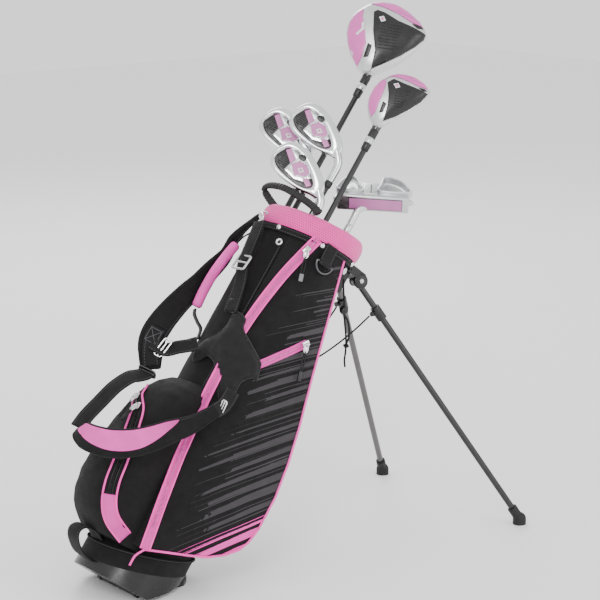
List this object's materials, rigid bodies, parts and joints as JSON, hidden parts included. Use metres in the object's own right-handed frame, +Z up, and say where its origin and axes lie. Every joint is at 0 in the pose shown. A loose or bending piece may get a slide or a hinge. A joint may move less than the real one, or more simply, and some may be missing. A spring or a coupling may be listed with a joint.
{
  "type": "golf club set",
  "caption": "Junior golf stand bag resting on its two open legs, with woods, irons and a putter that lift out of the divided top.",
  "frame": {"origin": "on the floor, at the middle of the hinged foot plate's underside", "axes": "+Z up, +X along the floor towards the legs (the bag leans this way), +Y towards the far leg"},
  "size_m": [0.7778, 0.366, 0.842],
  "materials": {
    "moulded_black": "satin",
    "steel": "brushed",
    "body_fabric": "woven twill",
    "panel_fabric": "printed woven panel",
    "fibreglass": "satin",
    "pink_mesh": "perforated air mesh",
    "webbing": "ribbed webbing",
    "handle_rubber": "satin",
    "pink_padding": "smooth padded",
    "pad_black": "padded mesh",
    "chrome": "polished",
    "dark_ring": "satin",
    "pink_zip": "zip tape",
    "slider_metal": "satin",
    "leg_metal": "satin dark paint",
    "foot_rubber": "matte",
    "cord": "braided",
    "wood_black": "gloss",
    "graphite": "gloss",
    "grip_rubber": "matte",
    "putter_silver": "satin",
    "iron_steel": "polished and brushed"
  },
  "bodies": {
    "bag": {"boot": "moulded_black", "plate_pin": "steel", "bag_shell": "body_fabric", "stay_rods": "fibreglass", "top_collar": "moulded_black", "cuff_pad": "pink_mesh", "cuff_trim": "webbing", "top_handle": "handle_rubber", "flank_pocket": "panel_fabric", "far_side_pocket": "body_fabric", "ball_pocket": "body_fabric", "grip_handle": "pink_padding", "handle_webbing": "webbing", "base_loop": "webbing", "shoulder_strap": "pad_black", "hip_strap": "pad_black", "strap_yoke": "pad_black", "strap_webbing": "webbing", "strap_buckles": "chrome", "snap_hook": "chrome", "towel_tab": "webbing", "rivets": "chrome", "main_zip": "pink_zip", "pocket_zip": "pink_zip", "ball_zip": "pink_zip", "leg_bracket": "moulded_black", "hinge_pins": "steel", "spread_cord": "cord", "draw_cord": "cord", "cord_lock": "moulded_black"},
    "foot_plate": {"foot_plate": "moulded_black"},
    "push_rod": {"push_rod": "steel"},
    "near_leg": {"leg_near": "leg_metal", "clip_near": "moulded_black", "tip_near": "foot_rubber"},
    "far_leg": {"leg_far": "leg_metal", "clip_far": "moulded_black", "tip_far": "foot_rubber"},
    "towel_ring": {"towel_ring": "dark_ring"},
    "main_slider": {"main_slider": "slider_metal"},
    "pocket_slider": {"pocket_slider": "slider_metal"},
    "ball_slider": {"ball_slider": "slider_metal"},
    "driver": {"driver_head": "wood_black", "driver_shaft": "graphite", "driver_grip": "grip_rubber"},
    "fairway": {"fairway_head": "wood_black", "fairway_shaft": "graphite", "fairway_grip": "grip_rubber"},
    "long_iron": {"long_iron_head": "iron_steel", "long_iron_shaft": "graphite", "long_iron_grip": "grip_rubber"},
    "mid_iron": {"mid_iron_head": "iron_steel", "mid_iron_shaft": "graphite", "mid_iron_grip": "grip_rubber"},
    "wedge": {"wedge_head": "iron_steel", "wedge_shaft": "graphite", "wedge_grip": "grip_rubber"},
    "putter": {"putter_head": "putter_silver", "putter_shaft": "graphite", "putter_grip": "grip_rubber"}
  },
  "joints": [
    {"name": "near_leg_fold", "type": "hinge", "parent": "bag", "child": "near_leg", "pos_m": [0.40335, -0.0255, 0.41969], "axis": [0.2556, 0.9474, -0.1926], "range_deg": [0, 66], "deforming": ["spread_cord"]},
    {"name": "far_leg_fold", "type": "hinge", "parent": "bag", "child": "far_leg", "pos_m": [0.40335, 0.0255, 0.41969], "axis": [-0.2556, 0.9474, 0.1926], "range_deg": [0, 66]},
    {"name": "foot_plate_fold", "type": "hinge", "parent": "bag", "child": "foot_plate", "pos_m": [-0.046, 0, 0.006], "axis": [0, 1, 0], "range_deg": [0, 37]},
    {"name": "push_rod_slide", "type": "slide", "parent": "bag", "child": "push_rod", "axis": [-0.6018, 0, -0.7986], "range_m": [0, 0.066]},
    {"name": "towel_ring_swing", "type": "hinge", "parent": "bag", "child": "towel_ring", "pos_m": [0.2891, -0.08344, 0.47198], "axis": [0.784, -0.1908, -0.5908], "range_deg": [-100, 0]},
    {"name": "main_slider_slide", "type": "slide", "parent": "bag", "child": "main_slider", "axis": [-0.7335, 0.1543, -0.662], "range_m": [0, 0.04]},
    {"name": "pocket_slider_slide", "type": "slide", "parent": "bag", "child": "pocket_slider", "axis": [-0.991, 0.0364, -0.1289], "range_m": [0, 0.06]},
    {"name": "ball_slider_slide", "type": "slide", "parent": "bag", "child": "ball_slider", "axis": [-0.7398, -0.329, -0.5869], "range_m": [0, 0.01]},
    {"name": "driver_pull", "type": "slide", "parent": "bag", "child": "driver", "axis": [0.6018, 0, 0.7986], "range_m": [0, 0.66]},
    {"name": "fairway_pull", "type": "slide", "parent": "bag", "child": "fairway", "axis": [0.6018, 0, 0.7986], "range_m": [0, 0.66]},
    {"name": "long_iron_pull", "type": "slide", "parent": "bag", "child": "long_iron", "axis": [0.6018, 0, 0.7986], "range_m": [0, 0.07]},
    {"name": "mid_iron_pull", "type": "slide", "parent": "bag", "child": "mid_iron", "axis": [0.6018, 0, 0.7986], "range_m": [0, 0.16]},
    {"name": "wedge_pull", "type": "slide", "parent": "bag", "child": "wedge", "axis": [0.6018, 0, 0.7986], "range_m": [0, 0.66]},
    {"name": "putter_pull", "type": "slide", "parent": "bag", "child": "putter", "axis": [0.6018, 0, 0.7986], "range_m": [0, 0.12]}
  ],
  "couplings": [
    {"joint": "far_leg_fold", "follows": "near_leg_fold", "ratio": 1},
    {"joint": "foot_plate_fold", "follows": "near_leg_fold", "ratio": 0.5601},
    {"joint": "push_rod_slide", "follows": "near_leg_fold", "m_per_rad": 0.05725}
  ]
}
